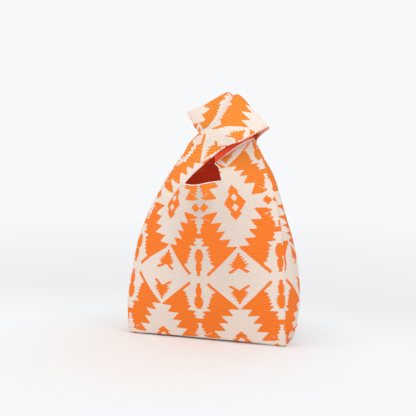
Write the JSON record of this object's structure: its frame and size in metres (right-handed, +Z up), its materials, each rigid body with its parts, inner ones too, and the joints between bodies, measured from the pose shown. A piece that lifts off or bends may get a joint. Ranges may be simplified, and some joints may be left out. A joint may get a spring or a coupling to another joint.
{
  "type": "japanese knot bag",
  "caption": "Soft knitted knot bag with boxed corners, a short handle band folded over the top and a longer handle drawn through it to a free carrying loop.",
  "frame": {"origin": "centre of the base, on the surface that the bag stands on", "axes": "+Z up, +X towards the long handle's side seam on the right, -Y out of the front with the open notch"},
  "size_m": [0.207, 0.1008, 0.291],
  "materials": {
    "jacquard_knit": "two-colour jacquard knit, orange and cream, matt",
    "red_lining_knit": "fine red knit, matt",
    "linked_yarn": "linked and rolled yarn edges, matt"
  },
  "bodies": {
    "bag": {"front_panel": "jacquard_knit", "back_panel": "jacquard_knit", "left_gusset": "jacquard_knit", "right_gusset": "jacquard_knit", "left_corner": "jacquard_knit", "right_corner": "jacquard_knit", "base_front": "jacquard_knit", "base_back": "jacquard_knit", "short_handle_front": "jacquard_knit", "short_handle_rear": "jacquard_knit", "short_handle_back": "jacquard_knit", "long_handle_front": "jacquard_knit", "long_handle_rear": "jacquard_knit", "long_handle_neck": "jacquard_knit", "front_lining": "red_lining_knit", "back_lining": "red_lining_knit", "left_lining": "red_lining_knit", "right_lining": "red_lining_knit", "base_lining": "red_lining_knit", "short_handle_lining": "red_lining_knit", "long_handle_facing": "red_lining_knit", "left_corner_seam": "linked_yarn", "right_corner_seam": "linked_yarn", "bottom_seam": "linked_yarn", "front_left_seam": "linked_yarn", "front_right_seam": "linked_yarn", "back_right_seam": "linked_yarn", "back_left_seam": "linked_yarn", "short_handle_front_hem": "linked_yarn", "short_handle_rear_hem": "linked_yarn", "long_handle_rear_hem": "linked_yarn", "long_handle_front_hem": "linked_yarn", "front_mouth_hem": "linked_yarn", "back_mouth_hem": "linked_yarn"},
    "throat": {"long_handle_throat": "jacquard_knit", "long_handle_bead": "linked_yarn"},
    "loop": {"long_handle_loop_inner": "jacquard_knit", "long_handle_loop_outer": "jacquard_knit", "long_handle_bend_seam": "linked_yarn"}
  },
  "joints": [
    {"name": "long_handle_draw", "type": "slide", "parent": "bag", "child": "throat", "axis": [0, 0, -1], "range_m": [0, 0.025]},
    {"name": "long_handle_swing", "type": "hinge", "parent": "throat", "child": "loop", "pos_m": [-0.035, 0.052, 0.199], "axis": [1, 0, 0], "range_deg": [0, 150]}
  ]
}
